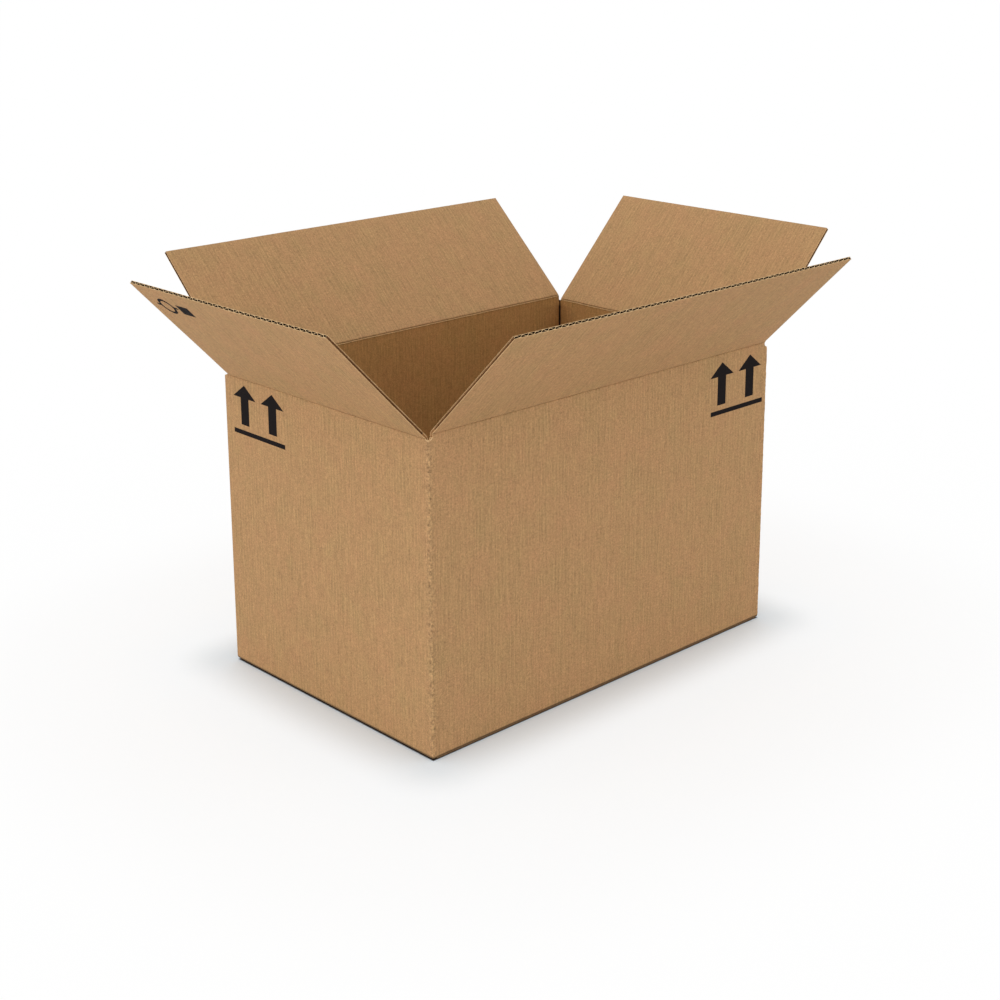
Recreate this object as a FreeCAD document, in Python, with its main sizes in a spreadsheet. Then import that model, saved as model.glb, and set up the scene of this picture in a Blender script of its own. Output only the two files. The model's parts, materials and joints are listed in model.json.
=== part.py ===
import FreeCAD, Part
import os
import Sketcher

# An open shipping box of single-wall corrugated board, standing on the floor.
# X runs along the long walls, Y along the short walls and Z up.
# The origin lies on the floor, under the middle of the box.
# Each top flap is drawn upright about its own crease and then leaned outwards.

SIZES = [
    ("outer_length", 470, "outside length of the box, along X"),
    ("outer_width", 305, "outside width of the box, along Y"),
    ("crease_height", 310, "height of the long flaps' creases above the floor"),
    ("board", 4, "thickness of the corrugated board"),
    ("liner", 0.5, "thickness of each facing sheet"),
    ("medium", 0.4, "thickness of the fluted sheet between the facings"),
    ("flute_pitch", 7.85, "distance from one flute to the next"),
    ("flank_share", 1.4, "width of a sloping stretch of the fluted sheet over its thickness"),
    ("crest_share", 0.14, "width of a flute's flat crest over the pitch"),
    ("fold_radius", 2.5, "outside radius of the upright folds"),
    ("inner_fold_radius", 1, "inside radius of the upright folds"),
    ("bottom_fold_radius", 2, "outside radius of the folds along the floor"),
    ("end_lift", 2.5, "height of the short walls' bottom folds above the floor"),
    ("fold_share", 0.9, "most of that height that a fold along the floor may round"),
    ("slot_clearance", 1, "gap from a short flap's side edge to the long wall beside it"),
    ("slot_depth", 2, "depth of the slot floors below the short flaps' creases"),
    ("layer_clearance", 0.5, "gap between a shut short flap and the long flap over it"),
    ("seam_gap", 1, "gap between the two long bottom flaps where they meet"),
    ("top_gap", 10, "gap between the two long top flaps when they are shut"),
    ("crease_depth", 1.2, "depth of a flap's hinge line below the outer face"),
    ("bead_radius", 0.7, "radius of the crushed board along a hinge line"),
    ("crease_clearance", 0.3, "clearance between a flap's crushed root and the wall"),
    ("outer_bevel", 15, "slope of the crushed outer face beside a crease, in degrees"),
    ("inner_bevel", 45, "slope of the crushed inner face beside a crease, in degrees"),
    ("crushed_margin", 1.5, "flat-crushed board between a bevel and the open flutes"),
    ("front_lean", 45, "lean of the front flap from upright, in degrees"),
    ("back_lean", 46.5, "lean of the back flap from upright, in degrees"),
    ("left_lean", 44, "lean of the left flap from upright, in degrees"),
    ("right_lean", 44, "lean of the right flap from upright, in degrees"),
    ("tab_width", 35, "width of the glue tab inside the left wall"),
    ("tab_taper", 10, "height lost by the glue tab's tapered ends"),
    ("tab_clearance", 6, "gap from the glue tab to the flaps above and below it"),
    ("cut_margin", 1, "how far each cut runs past the board"),
]

# How near two measured numbers have to be to count as the same.
NEAR = 0.01

# Sizes that follow from the driving ones, as expressions that the document works out.
HALF_LENGTH = "Sizes.outer_length / 2"
HALF_WIDTH = "Sizes.outer_width / 2"
SLOT_SIDE = "(Sizes.board + Sizes.slot_clearance)"
SHORT_CREASE = "(Sizes.crease_height - Sizes.board - Sizes.layer_clearance)"
SLOT_FLOOR = f"({SHORT_CREASE} - Sizes.slot_depth)"
LONG_FLAP_WIDTH = f"(Sizes.outer_length - 2 * {SLOT_SIDE})"
SHORT_FLAP_WIDTH = f"(Sizes.outer_width - 2 * {SLOT_SIDE})"
LONG_REACH = f"({HALF_WIDTH} - Sizes.crease_depth - Sizes.top_gap / 2)"
SHORT_REACH = f"({LONG_REACH} + Sizes.board + Sizes.layer_clearance)"
BOTTOM_TOP = "(2 * Sizes.board)"

# Where the wall's crushed top edge lies below the hinge line and beside it.
EDGE_DROP = "(Sizes.bead_radius + Sizes.crease_clearance)"
OUTER_DROP = ("((Sizes.crease_depth + Sizes.crease_clearance / cos(Sizes.outer_bevel))"
              " / tan(Sizes.outer_bevel))")
INNER_DROP = ("((Sizes.board - Sizes.crease_depth + Sizes.crease_clearance / sin(Sizes.inner_bevel))"
              " / tan(Sizes.inner_bevel))")
EDGE_OUTER = (f"({EDGE_DROP} * tan(Sizes.outer_bevel)"
              " - Sizes.crease_clearance / cos(Sizes.outer_bevel))")
EDGE_INNER = (f"({EDGE_DROP} * tan(Sizes.inner_bevel)"
              " - Sizes.crease_clearance / cos(Sizes.inner_bevel))")

# Half widths of one flute's channel, where it lies open on a facing and at its far tip.
CHANNEL_MIDDLE = "(Sizes.flute_pitch / 4 - Sizes.medium * Sizes.flank_share / 2)"
CHANNEL_TIP = "(Sizes.flute_pitch * Sizes.crest_share / 2)"
CHANNEL_RISE = "(Sizes.board / 2 - Sizes.liner)"
CHANNEL_BASE = (f"({CHANNEL_MIDDLE} + ({CHANNEL_MIDDLE} - {CHANNEL_TIP})"
                f" * {CHANNEL_RISE} / ({CHANNEL_RISE} - Sizes.medium))")


def add_sizes(doc):
    """Write the driving sizes into a spreadsheet, one named row each."""
    sheet = doc.addObject("Spreadsheet::Sheet", "Sizes")
    for row, (alias, value, meaning) in enumerate(SIZES, start=1):
        sheet.set(f"A{row}", meaning)
        sheet.set(f"B{row}", str(value))
        sheet.setAlias(f"B{row}", alias)
    doc.recompute()


def origin_part(body, role):
    """Find one of a body's own origin planes or axes."""
    return next(item for item in body.Origin.OriginFeatures if item.Role == role)


def add_sketch(body, name, plane, height=None):
    """Start a sketch on one of the body's origin planes, lifted along its normal."""
    sketch = body.newObject("Sketcher::SketchObject", name)
    sketch.AttachmentSupport = (origin_part(body, plane), "")
    sketch.MapMode = "FlatFace"
    if height:
        sketch.setExpression("AttachmentOffset.Base.z", height)
    return sketch


def bind(sketch, constraint, expression):
    """Add a constraint whose value follows an expression."""
    index = sketch.addConstraint(constraint)
    sketch.setExpression(f"Constraints[{index}]", expression)


def add_outline(sketch, corners):
    """Draw a closed outline, each corner placed from the sketch's origin by expressions."""
    points = [FreeCAD.Vector(sketch.evalExpression(across), sketch.evalExpression(up), 0)
              for across, up in corners]
    first = sketch.GeometryCount
    count = len(points)
    for index, point in enumerate(points):
        sketch.addGeometry(Part.LineSegment(point, points[(index + 1) % count]), False)
    for index, point in enumerate(points):
        line = first + index
        following = first + (index + 1) % count
        across, up = corners[index]
        sketch.addConstraint(Sketcher.Constraint("Coincident", line, 2, following, 1))
        bind(sketch, Sketcher.Constraint("DistanceX", -1, 1, line, 1, point.x), across)
        bind(sketch, Sketcher.Constraint("DistanceY", -1, 1, line, 1, point.y), up)


def add_rectangle(sketch, left, right, bottom, top):
    """Draw a rectangle between four expressions."""
    add_outline(sketch, [(left, bottom), (right, bottom), (right, top), (left, top)])


def mirrored(corners):
    """The same outline on the other side of the sketch's upright axis."""
    return [(f"-({across})", up) for across, up in corners]


def add_pad(body, name, sketch, length, both_ways=False):
    """Raise a sketch into the solid."""
    pad = body.newObject("PartDesign::Pad", name)
    pad.Profile = sketch
    pad.SideType = "Symmetric" if both_ways else "One side"
    pad.setExpression("Length", length)
    return pad


def add_pocket(body, name, sketch, length, both_ways=False, upwards=False):
    """Cut a sketch out of the solid."""
    pocket = body.newObject("PartDesign::Pocket", name)
    pocket.Profile = sketch
    pocket.SideType = "Symmetric" if both_ways else "One side"
    pocket.Reversed = upwards
    pocket.setExpression("Length", length)
    return pocket


def round_edges(body, name, wanted, radius):
    """Fillet the edges whose middle point passes the given test."""
    body.Document.recompute()
    before = body.Tip
    edges = [f"Edge{index}" for index, edge in enumerate(before.Shape.Edges, start=1)
             if wanted(edge)]
    fillet = body.newObject("PartDesign::Fillet", name)
    fillet.Base = (before, edges)
    fillet.setExpression("Radius", radius)
    return fillet


def middle_of(edge):
    """Middle point of a straight edge."""
    return (edge.Vertexes[0].Point + edge.Vertexes[-1].Point) / 2


def is_upright(edge):
    """Whether an edge is a straight one along Z."""
    return isinstance(edge.Curve, Part.Line) and abs(edge.Curve.Direction.z) > 1 - NEAR


def crease_outline(half, crease):
    """What the crease takes from a wall's top, seen along the wall on its positive side."""
    face = f"({half} - Sizes.board)"
    hinge = f"({half} - Sizes.crease_depth)"
    above = "(Sizes.crease_height + Sizes.cut_margin)"
    return [
        (f"{half} + Sizes.cut_margin", above),
        (f"{half} + Sizes.cut_margin", f"{crease} - {OUTER_DROP}"),
        (half, f"{crease} - {OUTER_DROP}"),
        (f"{hinge} + {EDGE_OUTER}", f"{crease} - {EDGE_DROP}"),
        (f"{hinge} - {EDGE_INNER}", f"{crease} - {EDGE_DROP}"),
        (face, f"{crease} - {INNER_DROP}"),
        (f"{face} - Sizes.cut_margin", f"{crease} - {INNER_DROP}"),
        (f"{face} - Sizes.cut_margin", above),
    ]


def add_walls(body):
    """Four walls folded from one strip, with a sharp corner only where its ends are joined."""
    sketch = add_sketch(body, "wall_plan", "XY_Plane", "Sizes.end_lift")
    add_rectangle(sketch, f"-{HALF_LENGTH}", HALF_LENGTH, f"-{HALF_WIDTH}", HALF_WIDTH)
    add_rectangle(sketch, f"Sizes.board - {HALF_LENGTH}", f"{HALF_LENGTH} - Sizes.board",
                  f"Sizes.board - {HALF_WIDTH}", f"{HALF_WIDTH} - Sizes.board")
    add_pad(body, "walls", sketch, "Sizes.crease_height - Sizes.end_lift")

    half_length = sketch.evalExpression(HALF_LENGTH)

    def is_outer_fold(edge):
        middle = middle_of(edge)
        joined_corner = middle.x < 0 and middle.y > 0
        return is_upright(edge) and abs(middle.x) > half_length - NEAR and not joined_corner

    def is_inner_fold(edge):
        inner_x = half_length - sketch.evalExpression("Sizes.board")
        return is_upright(edge) and abs(abs(middle_of(edge).x) - inner_x) < NEAR

    round_edges(body, "outer_folds", is_outer_fold, "Sizes.fold_radius")
    round_edges(body, "inner_folds", is_inner_fold, "Sizes.inner_fold_radius")


def add_slots(body):
    """The slots that part the top flaps at the four corners."""
    sketch = add_sketch(body, "slot_plan", "XY_Plane", SLOT_FLOOR)
    inner_x = f"({HALF_LENGTH} - {SLOT_SIDE})"
    outer_x = f"({HALF_LENGTH} + Sizes.cut_margin)"
    inner_y = f"({HALF_WIDTH} - {SLOT_SIDE})"
    outer_y = f"({HALF_WIDTH} + Sizes.cut_margin)"
    corner = [(inner_x, inner_y), (outer_x, inner_y), (outer_x, outer_y), (inner_x, outer_y)]
    for corners in (corner, mirrored(corner)):
        add_outline(sketch, corners)
        add_outline(sketch, [(across, f"-{up}") for across, up in corners])
    add_pocket(body, "slots", sketch, f"Sizes.crease_height - {SLOT_FLOOR} + Sizes.cut_margin",
               upwards=True)


def add_wall_creases(body):
    """The crushed top edges that the flaps fold about."""
    long_sketch = add_sketch(body, "long_crease_section", "YZ_Plane")
    outline = crease_outline(HALF_WIDTH, "Sizes.crease_height")
    add_outline(long_sketch, outline)
    add_outline(long_sketch, mirrored(outline))
    add_pocket(body, "long_creases", long_sketch,
               f"{LONG_FLAP_WIDTH} + 2 * Sizes.crease_clearance", both_ways=True)

    short_sketch = add_sketch(body, "short_crease_section", "XZ_Plane")
    outline = crease_outline(HALF_LENGTH, SHORT_CREASE)
    add_outline(short_sketch, outline)
    add_outline(short_sketch, mirrored(outline))
    add_pocket(body, "short_creases", short_sketch,
               f"{SHORT_FLAP_WIDTH} + 2 * Sizes.crease_clearance", both_ways=True)


def add_bottom(body):
    """The bottom flaps, folded in and glued: the long pair outside, the short pair over it."""
    long_plan = add_sketch(body, "long_bottom_plan", "XY_Plane")
    end = f"({LONG_FLAP_WIDTH} / 2)"
    for near, far in (("Sizes.seam_gap / 2", HALF_WIDTH), (f"-{HALF_WIDTH}", "-Sizes.seam_gap / 2")):
        add_rectangle(long_plan, f"-{end}", end, near, far)
    add_pad(body, "long_bottom_flaps", long_plan, "Sizes.board")

    def is_floor_fold(edge):
        middle = middle_of(edge)
        on_face = abs(middle.y) > long_plan.evalExpression(HALF_WIDTH) - NEAR
        return abs(middle.z) < NEAR and on_face and abs(middle.x) < NEAR

    round_edges(body, "bottom_folds", is_floor_fold,
                "min(Sizes.bottom_fold_radius; Sizes.fold_share * Sizes.end_lift)")

    short_plan = add_sketch(body, "short_bottom_plan", "XY_Plane", "Sizes.board")
    side = f"({SHORT_FLAP_WIDTH} / 2)"
    root = f"({HALF_LENGTH} - Sizes.board)"
    free = f"({HALF_LENGTH} - Sizes.crease_depth - {SHORT_REACH})"
    for near, far in ((free, root), (f"-{root}", f"-{free}")):
        add_rectangle(short_plan, near, far, f"-{side}", side)
    add_pad(body, "short_bottom_flaps", short_plan, "Sizes.board")

    fold_section = add_sketch(body, "end_fold_section", "XZ_Plane")
    leg = "Sizes.bottom_fold_radius"
    notch = [
        (f"{HALF_LENGTH} - {leg}", "Sizes.end_lift - Sizes.cut_margin"),
        (f"{HALF_LENGTH} + Sizes.cut_margin", "Sizes.end_lift - Sizes.cut_margin"),
        (f"{HALF_LENGTH} + Sizes.cut_margin", f"Sizes.end_lift + {leg}"),
        (HALF_LENGTH, f"Sizes.end_lift + {leg}"),
        (f"{HALF_LENGTH} - {leg}", "Sizes.end_lift"),
    ]
    add_outline(fold_section, notch)
    add_outline(fold_section, mirrored(notch))
    add_pocket(body, "end_folds", fold_section, SHORT_FLAP_WIDTH, both_ways=True)


def add_glue_tab(body):
    """The tab that carries on from the back wall and is glued inside the left wall."""
    face = f"(Sizes.board - {HALF_LENGTH})"
    root = f"({HALF_WIDTH} - Sizes.board)"
    free = f"({root} - Sizes.tab_width)"
    low = f"({BOTTOM_TOP} + Sizes.tab_clearance)"
    high = f"({SHORT_CREASE} - Sizes.board - Sizes.tab_clearance)"
    sketch = add_sketch(body, "glue_tab_shape", "YZ_Plane", face)
    add_outline(sketch, [(root, low), (root, high), (free, f"{high} - Sizes.tab_taper"),
                         (free, f"{low} + Sizes.tab_taper")])
    add_pad(body, "glue_tab", sketch, "Sizes.board")

    groove = add_sketch(body, "joint_groove_plan", "XY_Plane")
    add_outline(groove, [(face, f"{HALF_WIDTH} - Sizes.fold_radius"),
                         (f"{face} + Sizes.fold_radius", HALF_WIDTH),
                         (f"{face} + Sizes.fold_radius", f"{HALF_WIDTH} + Sizes.cut_margin"),
                         (face, f"{HALF_WIDTH} + Sizes.cut_margin")])
    add_pocket(body, "joint_groove", groove, "Sizes.crease_height", upwards=True)


def make_carton_body(doc):
    """Walls, bottom and glue tab: one sheet, folded and glued."""
    body = doc.addObject("PartDesign::Body", "carton_body")
    body.Label = "carton_body"
    add_walls(body)
    add_slots(body)
    add_wall_creases(body)
    add_bottom(body)
    add_glue_tab(body)
    return body


def add_channels(body, name, first, count, base, tip, reach):
    """A row of flute channels, cut into the flap from its free edge to its crushed root."""
    sketch = add_sketch(body, f"{name}_section", "XY_Plane", reach)
    add_outline(sketch, [
        (f"{first} - {CHANNEL_BASE}", base),
        (f"{first} + {CHANNEL_BASE}", base),
        (f"{first} + {CHANNEL_TIP}", tip),
        (f"{first} - {CHANNEL_TIP}", tip),
    ])
    crushed = "(Sizes.crease_depth / tan(Sizes.outer_bevel) + Sizes.crushed_margin)"
    channel = add_pocket(body, name, sketch, f"{reach} - {crushed}")
    row = body.newObject("PartDesign::LinearPattern", f"{name}_row")
    row.Originals = [channel]
    row.Direction = (origin_part(body, "X_Axis"), [""])
    row.Mode = "Spacing"
    row.setExpression("Offset", "Sizes.flute_pitch")
    row.setExpression("Occurrences", count)
    body.Tip = row


def make_flap(doc, name, width, reach, hinge, turn, lean):
    """One top flap: two facings with a fluted sheet between them, crushed flat at the crease.

    In the flap's own frame X is the hinge line, Z runs up the flap and -Y is the outer face.
    """
    body = doc.addObject("PartDesign::Body", name)
    body.Label = name
    outer = "-Sizes.crease_depth"
    inner = "(Sizes.board - Sizes.crease_depth)"
    section = add_sketch(body, "board_section", "YZ_Plane")
    add_outline(section, [
        ("0", "0"),
        (inner, f"{inner} / tan(Sizes.inner_bevel)"),
        (inner, reach),
        (outer, reach),
        (outer, "Sizes.crease_depth / tan(Sizes.outer_bevel)"),
    ])
    add_pad(body, "board_sheet", section, width, both_ways=True)

    bead = add_sketch(body, "bead_section", "YZ_Plane")
    radius = bead.evalExpression("Sizes.bead_radius")
    bead.addGeometry(Part.Circle(FreeCAD.Vector(0, 0, 0), FreeCAD.Vector(0, 0, 1), radius), False)
    bead.addConstraint(Sketcher.Constraint("Coincident", 0, 3, -1, 1))
    bind(bead, Sketcher.Constraint("Radius", 0, radius), "Sizes.bead_radius")
    add_pad(body, "crushed_bead", bead, width, both_ways=True)

    flutes = f"floor({width} / (2 * Sizes.flute_pitch))"
    outer_gap = f"({outer} + Sizes.liner)"
    inner_gap = f"({inner} - Sizes.liner)"
    add_channels(body, "outer_channels", f"-({flutes} + 1) * Sizes.flute_pitch",
                 f"2 * {flutes} + 3", outer_gap, f"{inner_gap} - Sizes.medium", reach)
    add_channels(body, "inner_channels", f"-({flutes} + 0.5) * Sizes.flute_pitch",
                 f"2 * {flutes} + 2", inner_gap, f"{outer_gap} + Sizes.medium", reach)
    body.setExpression("Placement", f"placement(vector({hinge}); rotation({turn}; 0; {lean}))")
    return body


def check(doc, bodies):
    """Stop if any object failed or any piece isn't one sound solid."""
    failed = [item.Name for item in doc.Objects
              if "Invalid" in item.State or "Error" in item.State]
    if failed:
        raise RuntimeError(f"these objects failed: {failed}")
    for body in bodies:
        shape = body.Shape
        if shape.isNull() or not shape.isValid() or len(shape.Solids) != 1:
            raise RuntimeError(f"{body.Label} is not one sound solid")
        print(f"{body.Label}: {shape.Volume / 1000:.1f} cubic centimetres, {len(shape.Faces)} faces")


def main():
    doc = FreeCAD.newDocument("open_box")
    add_sizes(doc)
    hinge_x = f"({HALF_LENGTH} - Sizes.crease_depth)"
    hinge_y = f"({HALF_WIDTH} - Sizes.crease_depth)"
    bodies = [
        make_carton_body(doc),
        make_flap(doc, "front_flap", LONG_FLAP_WIDTH, LONG_REACH,
                  f"0; -{hinge_y}; Sizes.crease_height", 0, "Sizes.front_lean"),
        make_flap(doc, "back_flap", LONG_FLAP_WIDTH, LONG_REACH,
                  f"0; {hinge_y}; Sizes.crease_height", 180, "Sizes.back_lean"),
        make_flap(doc, "left_flap", SHORT_FLAP_WIDTH, SHORT_REACH,
                  f"-{hinge_x}; 0; {SHORT_CREASE}", -90, "Sizes.left_lean"),
        make_flap(doc, "right_flap", SHORT_FLAP_WIDTH, SHORT_REACH,
                  f"{hinge_x}; 0; {SHORT_CREASE}", 90, "Sizes.right_lean"),
    ]
    doc.recompute()
    check(doc, bodies)
    os.makedirs("parts", exist_ok=True)
    for body in bodies:
        body.Shape.exportStep(f"parts/{body.Label}.step")


main()
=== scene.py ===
# %% [markdown]
# # An open shipping box of corrugated board
# The real box is one sheet of board, cut, creased, folded and glued. Corrugated board is two
# flat facings with a wavy sheet, the medium, glued between them. The flutes stand upright in the
# walls, so they end, open, along the free edges of the four top flaps. This lesson dresses the
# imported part: walls, bottom, flaps, creases and print are rebuilt with real thickness, and one
# set of paper materials covers them.

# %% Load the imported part
import json
import math

import bmesh
import bpy
import numpy as np
from mathutils import Matrix, Vector, noise


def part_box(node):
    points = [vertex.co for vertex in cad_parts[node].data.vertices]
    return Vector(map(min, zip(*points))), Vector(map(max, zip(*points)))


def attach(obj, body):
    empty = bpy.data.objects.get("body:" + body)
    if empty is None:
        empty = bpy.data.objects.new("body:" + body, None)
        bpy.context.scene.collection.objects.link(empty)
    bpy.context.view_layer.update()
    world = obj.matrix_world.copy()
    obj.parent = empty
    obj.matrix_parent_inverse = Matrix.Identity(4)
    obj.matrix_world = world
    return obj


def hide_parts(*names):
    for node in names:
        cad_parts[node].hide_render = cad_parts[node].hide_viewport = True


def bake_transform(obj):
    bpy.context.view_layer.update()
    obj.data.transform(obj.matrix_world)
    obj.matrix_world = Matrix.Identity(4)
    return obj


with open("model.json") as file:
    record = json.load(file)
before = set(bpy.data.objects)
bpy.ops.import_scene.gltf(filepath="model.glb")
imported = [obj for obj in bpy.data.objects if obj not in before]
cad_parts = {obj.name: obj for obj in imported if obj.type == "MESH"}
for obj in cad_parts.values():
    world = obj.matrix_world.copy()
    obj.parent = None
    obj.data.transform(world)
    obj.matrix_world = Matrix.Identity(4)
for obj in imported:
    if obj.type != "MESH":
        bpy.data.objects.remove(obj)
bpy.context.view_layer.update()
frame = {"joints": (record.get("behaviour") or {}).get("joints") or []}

# %% [markdown]
# ## The sizes of the board and of the box
# Everything is in metres. The box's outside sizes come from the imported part, and each crease's
# place from its joint. A joint's lower limit is the shut flap, a quarter turn past upright, so
# the lean at which the flap stands is what is left of that range.

# %% Board and box sizes
MM = 0.001
BOARD, FACING, MEDIUM = 4 * MM, 0.42 * MM, 0.5 * MM
PITCH = 7.85 * MM
OUTER_FACE = -1.2 * MM
FOLD_RADIUS = 2.5 * MM
SLOT = 5 * MM
END_LIFT = 2.5 * MM
RING_TOP = 299 * MM
FLAP_ROOT = 6 * MM
RAGGED = 0.6 * MM

low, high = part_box("carton_body")
HALF_LENGTH, HALF_WIDTH = high.x, high.y
LONG_FLAP = 2 * (HALF_LENGTH - SLOT)
SHORT_FLAP = 2 * (HALF_WIDTH - SLOT)
FLAPS = {
    "front": {"turn": 0, "width": LONG_FLAP, "reach": 146.3 * MM, "start": 0.0},
    "right": {"turn": 90, "width": SHORT_FLAP, "reach": 150.8 * MM, "start": HALF_LENGTH + HALF_WIDTH},
    "back": {"turn": 180, "width": LONG_FLAP, "reach": 146.3 * MM, "start": 2 * (HALF_LENGTH + HALF_WIDTH)},
    "left": {"turn": -90, "width": SHORT_FLAP, "reach": 150.8 * MM, "start": -HALF_LENGTH - HALF_WIDTH},
}
for joint in frame["joints"]:
    flap = FLAPS[joint["name"].split("_")[0]]
    flap["hinge"] = Vector(joint["pos_m"])
    flap["lean"] = math.radians(-90 - joint["range_deg"][0])
    flap["upright"] = Matrix.Translation(flap["hinge"]) @ Matrix.Rotation(math.radians(flap["turn"]), 4, "Z")
    flap["leaned"] = flap["upright"] @ Matrix.Rotation(flap["lean"], 4, "X")
    place = tuple(round(c, 4) for c in flap["hinge"])
    print(joint["name"], "hinge", place, "lean", round(math.degrees(flap["lean"]), 1))

# %% [markdown]
# ## Node trees written as sums
# A small class wraps a socket, so that shader and geometry maths can be written as ordinary
# Python sums. Any other node comes from one method, which sets the node's settings first and
# then its sockets.


# %% Sockets in sums
def operator(operation, swapped=False):
    """A Python operator that adds a maths node."""
    def made(self, *others):
        numbers = (*others, self) if swapped else (self, *others)
        return self.graph.math(operation, *numbers)
    return made


class Value:
    """A node's output that can stand in a sum."""

    def __init__(self, graph, socket):
        self.graph = graph
        self.socket = socket

    __add__ = __radd__ = operator("ADD")
    __mul__ = __rmul__ = operator("MULTIPLY")
    __sub__, __rsub__ = operator("SUBTRACT"), operator("SUBTRACT", swapped=True)
    __truediv__, __rtruediv__ = operator("DIVIDE"), operator("DIVIDE", swapped=True)
    __gt__, __lt__ = operator("GREATER_THAN"), operator("LESS_THAN")
    __abs__ = operator("ABSOLUTE")


class Graph:
    """Adds nodes to one tree."""

    def __init__(self, tree):
        self.tree = tree

    def node(self, kind, settings=None, inputs=None):
        made = self.tree.nodes.new(kind)
        for name, value in (settings or {}).items():
            setattr(made, name, value)
        for key, value in (inputs or {}).items():
            self.feed(made.inputs[key], value)
        return made

    def feed(self, socket, value):
        if isinstance(value, Value):
            self.tree.links.new(value.socket, socket)
        else:
            socket.default_value = value

    def get(self, kind, output=0, settings=None, inputs=None):
        return Value(self, self.node(kind, settings, inputs).outputs[output])

    def math(self, operation, *numbers, clamp=False):
        settings = {"operation": operation, "use_clamp": clamp}
        return self.get("ShaderNodeMath", 0, settings, dict(enumerate(numbers)))

    def smooth(self, value, start, end):
        """0 before start, 1 after end, and a smooth step between."""
        return self.get("ShaderNodeMapRange", 0, {"interpolation_type": "SMOOTHSTEP"},
                        {"Value": value, "From Min": start, "From Max": end, "To Min": 0.0, "To Max": 1.0})

    def mix(self, share, first, second):
        """The first colour at share 0 and the second at share 1."""
        return self.get("ShaderNodeMix", 2, {"data_type": "RGBA", "clamp_factor": True},
                        {0: share, 6: first, 7: second})

    def scaled(self, colour, share):
        """A colour made lighter or darker by a factor."""
        return self.get("ShaderNodeVectorMath", 0, {"operation": "SCALE"}, {0: colour, "Scale": share})

    def point(self, x, y, z):
        return self.get("ShaderNodeCombineXYZ", 0, None, {0: x, 1: y, 2: z})

    def split(self, vector):
        parts = self.node("ShaderNodeSeparateXYZ", None, {0: vector})
        return [Value(self, socket) for socket in parts.outputs]

    def attribute(self, name):
        return self.get("ShaderNodeAttribute", "Fac", {"attribute_name": name})

    def join(self, sheets):
        made = self.node("GeometryNodeJoinGeometry")
        for sheet in sheets:
            self.tree.links.new(sheet.socket, made.inputs[0])
        return Value(self, made.outputs[0])

    def noise(self, place, scale, detail=2.0, roughness=0.5):
        return self.get("ShaderNodeTexNoise", "Fac", {"noise_dimensions": "3D"},
                        {"Vector": place, "Scale": scale, "Detail": detail, "Roughness": roughness})


def linear(red, green, blue):
    """An sRGB colour, 0 to 255, as the linear colour that a shader takes."""
    parts = [c / 255 for c in (red, green, blue)]
    return tuple(c / 12.92 if c <= 0.04045 else ((c + 0.055) / 1.055) ** 2.4 for c in parts) + (1.0,)


# %% [markdown]
# ## Kraft paper
# The facings are unbleached kraft paper. Close up it is long brown fibres with a few dark
# specks. From a step away it shows soft streaks along the flutes, some redder and some
# greener, because the paper dries against the wave behind it and sinks a little between the
# glue lines. The streaks follow a UV map in metres that lies on the board as it was before
# folding, so they carry on over the creases, and the blotches read Object coordinates. Three
# attributes of the points paint light and shade into the colour: folds are rubbed pale and
# carry a painted highlight, the inside of the walls is painted darker as shade, and creases,
# inner corners and the lower edge carry painted shade.


# %% Facing paper
KRAFT_RED = linear(186, 143, 100)
KRAFT_GREEN = linear(177, 143, 97)
# The pale of a rubbed fold. On the folds it also stands for a painted highlight, and on the inner crease's
# bead it is a painted highlight.
KRAFT_PALE = linear(216, 177, 128)
# Painted shade: the inside walls are painted darker and warmer, as the shade inside the box.
INSIDE_SHADE_TINT = (0.94, 0.87, 0.67, 1)
RIB = 4.4 * MM


def paper_graph(name):
    """A new material's graph, its principled shader, and the board's own coordinates."""
    material = bpy.data.materials.new(name)
    material.use_nodes = True
    graph = Graph(material.node_tree)
    shader = material.node_tree.nodes["Principled BSDF"]
    across, along, _ = graph.split(graph.get("ShaderNodeUVMap", 0, {"uv_map": "board"}))
    place = graph.get("ShaderNodeTexCoord", "Object")
    return material, graph, shader, across, along, place


def kraft_colour(graph, across, along, place):
    """Streaks, blotches, fibres and specks, and the height that the fibres stand at."""
    sheet = graph.point(across, along * 0.06, 0.3)
    streak = graph.noise(sheet, 200.0, 3.0, 0.6)
    hair = graph.noise(graph.point(across, along * 0.05, 0.7), 800.0, 2.0, 0.6)
    blotch = graph.noise(place, 30.0, 4.0, 0.6)
    cloud = graph.noise(place, 130.0, 3.0, 0.65)
    crumb = graph.noise(place, 380.0, 2.0, 0.7)
    grain = graph.noise(place, 850.0, 2.0, 0.7)
    lying = graph.noise(graph.point(across * 0.3, along, 0.1), 2400.0, 2.0, 0.6)
    standing = graph.noise(graph.point(across, along * 0.3, 0.9), 2100.0, 2.0, 0.6)
    fibre = graph.math("MAXIMUM", lying, standing)
    ribs = graph.math("COSINE", across * (2 * math.pi / RIB) + streak * 16.0)
    rib = ribs * graph.smooth(blotch + streak, 0.6, 1.3)
    hue = (streak - 0.5) * 0.4 + (blotch - 0.5) * 1.9 + (cloud - 0.5) * 0.7 + 0.4
    colour = graph.mix(graph.math("ADD", hue, 0.0, clamp=True), KRAFT_RED, KRAFT_GREEN)
    light = (1.0 + (hair - 0.5) * 0.5 + rib * 0.08 + (cloud - 0.5) * 0.16 + (crumb - 0.5) * 0.55
             + (grain - 0.5) * 0.95 + (fibre - 0.58) * 0.6)
    cells = graph.node("ShaderNodeTexVoronoi", {"feature": "F1"}, {"Vector": place, "Scale": 210.0})
    seed = graph.get("ShaderNodeSeparateColor", 0, None, {0: Value(graph, cells.outputs["Color"])})
    speck = (1.0 - graph.smooth(Value(graph, cells.outputs["Distance"]), 0.06, 0.16)) * (seed > 0.86)
    return colour, light * (1.0 - speck * 0.28), fibre * 0.5 + grain * 0.5


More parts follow.
